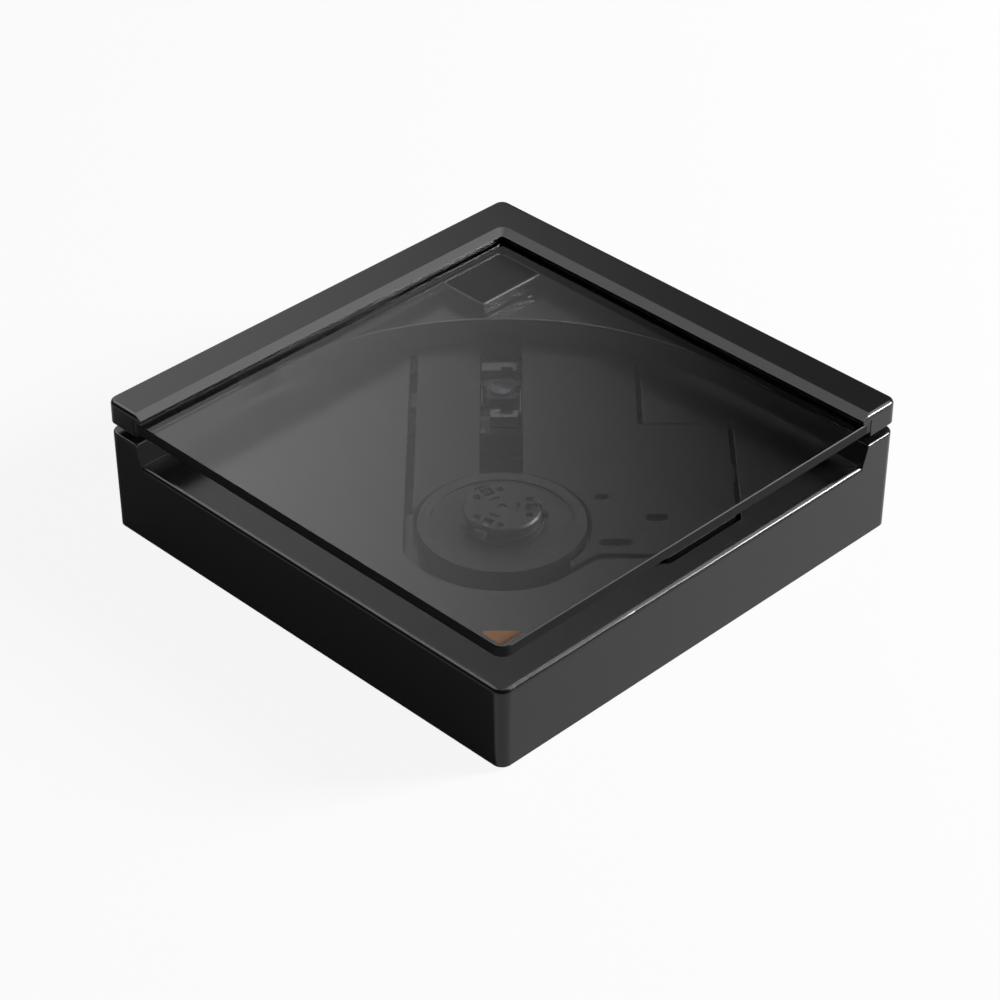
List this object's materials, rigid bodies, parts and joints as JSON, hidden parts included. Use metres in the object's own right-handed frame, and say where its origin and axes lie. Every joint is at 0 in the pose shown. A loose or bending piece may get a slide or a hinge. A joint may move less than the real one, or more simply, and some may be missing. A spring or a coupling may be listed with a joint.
{
  "type": "wall mounted disc player",
  "caption": "Square disc player for a wall: open mechanism in a low deck, sprung hub, sliding pickup, and a smoked glass lid that swivels on one corner.",
  "frame": {"origin": "centre of the base, which lies on the wall", "axes": "+Z out of the deck, away from the wall; the raised walls and the lid's rail are on the -X and +Y sides"},
  "size_m": [0.103, 0.103, 0.0284],
  "materials": {
    "case_plastic": "fine satin grain, near-black",
    "cover_plastic": "fine satin grain",
    "screw_steel": "blackened",
    "black_rubber": "dull",
    "bush_brass": "machined",
    "magnet_plating": "nickel plated",
    "chassis_plastic": "moulded, satin",
    "motor_can": "zinc plated",
    "rod_steel": "ground",
    "board_resin": "solder resist",
    "chip_resin": "moulded",
    "capacitor_can": "plain",
    "port_plastic": "moulded",
    "port_shell": "plain",
    "tape": "black foam",
    "battery_foil": "foil",
    "ribbon_film": "amber film",
    "connector_plastic": "moulded",
    "smoked_glass": "smoked, polished edges",
    "mark_ink": "printed",
    "block_steel": "black",
    "washer_resin": "slippery",
    "turntable_plastic": "moulded, satin",
    "spring_steel": "plain",
    "sled_plastic": "moulded",
    "bracket_steel": "plated",
    "gear_plastic": "white acetal",
    "holder_plastic": "moulded",
    "lens_glass": "coated",
    "gear_brass": "machined",
    "claw_plastic": "moulded",
    "button_plastic": "satin"
  },
  "bodies": {
    "case": {"upper_housing": "case_plastic", "bottom_cover": "cover_plastic", "cover_screws": "screw_steel", "rubber_pads": "black_rubber", "pivot_bush": "bush_brass", "case_magnets": "magnet_plating", "chassis": "chassis_plastic", "dampers": "black_rubber", "shoulder_screws": "screw_steel", "spindle_motor": "motor_can", "motor_screws": "screw_steel", "main_rod": "rod_steel", "side_rod": "rod_steel", "feed_motor": "motor_can", "gear_pin": "rod_steel", "main_board": "board_resin", "board_screws": "screw_steel", "board_chips": "chip_resin", "board_capacitors": "capacitor_can", "headphone_jack": "port_plastic", "charge_port": "port_shell", "side_switches": "port_plastic", "battery_pad": "tape", "battery": "battery_foil", "pickup_ribbon": "ribbon_film", "ribbon_connector": "connector_plastic"},
    "lid": {"lid_rail": "case_plastic", "lid_plate": "smoked_glass", "lid_gasket": "tape", "corner_mark": "mark_ink", "pivot_block": "block_steel", "block_tape": "tape", "pivot_shaft": "rod_steel", "retaining_ring": "rod_steel", "pivot_washer": "washer_resin", "lid_magnets": "magnet_plating"},
    "turntable": {"turntable": "turntable_plastic", "turntable_pad": "black_rubber", "rotor_shaft": "rod_steel", "claw_springs": "spring_steel"},
    "pickup": {"sled": "sled_plastic", "actuator_base": "sled_plastic", "front_yoke": "bracket_steel", "rear_yoke": "bracket_steel", "ribbon_pads": "connector_plastic", "suspension_wires": "spring_steel", "rack": "gear_plastic"},
    "lens_carrier": {"lens_holder": "holder_plastic", "lens": "lens_glass"},
    "feed_gear": {"feed_gear": "gear_plastic"},
    "feed_pinion": {"feed_pinion": "gear_brass"},
    "hub_claw_1": {"hub_claw_1": "claw_plastic"},
    "hub_claw_2": {"hub_claw_2": "claw_plastic"},
    "hub_claw_3": {"hub_claw_3": "claw_plastic"},
    "mode_button": {"mode_button": "button_plastic"},
    "back_button": {"back_button": "button_plastic"},
    "play_button": {"play_button": "button_plastic"},
    "next_button": {"next_button": "button_plastic"},
    "stop_button": {"stop_button": "button_plastic"}
  },
  "joints": [
    {"name": "lid_swivel", "type": "hinge", "parent": "case", "child": "lid", "pos_m": [-0.0347, 0.0319, 0.023], "axis": [0, 0, 1], "range_deg": [0, 120]},
    {"name": "turntable_spin", "type": "hinge", "parent": "case", "child": "turntable", "pos_m": [0.0185, -0.0185, 0.018], "axis": [0, 0, 1], "continuous": true},
    {"name": "pickup_slide", "type": "slide", "parent": "case", "child": "pickup", "axis": [-0.7071, 0.7071, 0], "range_m": [-0.0211, 0.0115], "deforming": ["pickup_ribbon"]},
    {"name": "lens_focus", "type": "slide", "parent": "pickup", "child": "lens_carrier", "axis": [0, 0, 1], "range_m": [-0.0005, 0.0005], "stiffness_N_per_m": 40, "deforming": ["suspension_wires"]},
    {"name": "feed_gear_spin", "type": "hinge", "parent": "case", "child": "feed_gear", "pos_m": [0.01004, 0.01546, 0.008], "axis": [0, 0, 1], "range_deg": [-219.6, 402.9]},
    {"name": "feed_pinion_spin", "type": "hinge", "parent": "case", "child": "feed_pinion", "pos_m": [0.02003, 0.01634, 0.008], "axis": [0, 0, 1], "range_deg": [-1612, 879]},
    {"name": "claw_1_slide", "type": "slide", "parent": "turntable", "child": "hub_claw_1", "axis": [-0.7071, -0.7071, 0], "range_m": [0, 0.00085], "stiffness_N_per_m": 300, "springref_m": -0.0005, "deforming": ["claw_springs"]},
    {"name": "claw_2_slide", "type": "slide", "parent": "turntable", "child": "hub_claw_2", "axis": [0.9659, -0.2588, 0], "range_m": [0, 0.00085], "stiffness_N_per_m": 300, "springref_m": -0.0005},
    {"name": "claw_3_slide", "type": "slide", "parent": "turntable", "child": "hub_claw_3", "axis": [-0.2588, 0.9659, 0], "range_m": [0, 0.00085], "stiffness_N_per_m": 300, "springref_m": -0.0005},
    {"name": "mode_button_press", "type": "slide", "parent": "case", "child": "mode_button", "axis": [0, -1, 0], "range_m": [0, 0.0004], "stiffness_N_per_m": 1500, "springref_m": -0.0003},
    {"name": "back_button_press", "type": "slide", "parent": "case", "child": "back_button", "axis": [0, -1, 0], "range_m": [0, 0.0004], "stiffness_N_per_m": 1500, "springref_m": -0.0003},
    {"name": "play_button_press", "type": "slide", "parent": "case", "child": "play_button", "axis": [0, -1, 0], "range_m": [0, 0.0004], "stiffness_N_per_m": 1500, "springref_m": -0.0003},
    {"name": "next_button_press", "type": "slide", "parent": "case", "child": "next_button", "axis": [0, -1, 0], "range_m": [0, 0.0004], "stiffness_N_per_m": 1500, "springref_m": -0.0003},
    {"name": "stop_button_press", "type": "slide", "parent": "case", "child": "stop_button", "axis": [0, -1, 0], "range_m": [0, 0.0004], "stiffness_N_per_m": 1500, "springref_m": -0.0003}
  ],
  "couplings": [
    {"joint": "pickup_slide", "follows": "feed_gear_spin", "m_per_rad": -0.003},
    {"joint": "feed_pinion_spin", "follows": "feed_gear_spin", "ratio": -4}
  ]
}
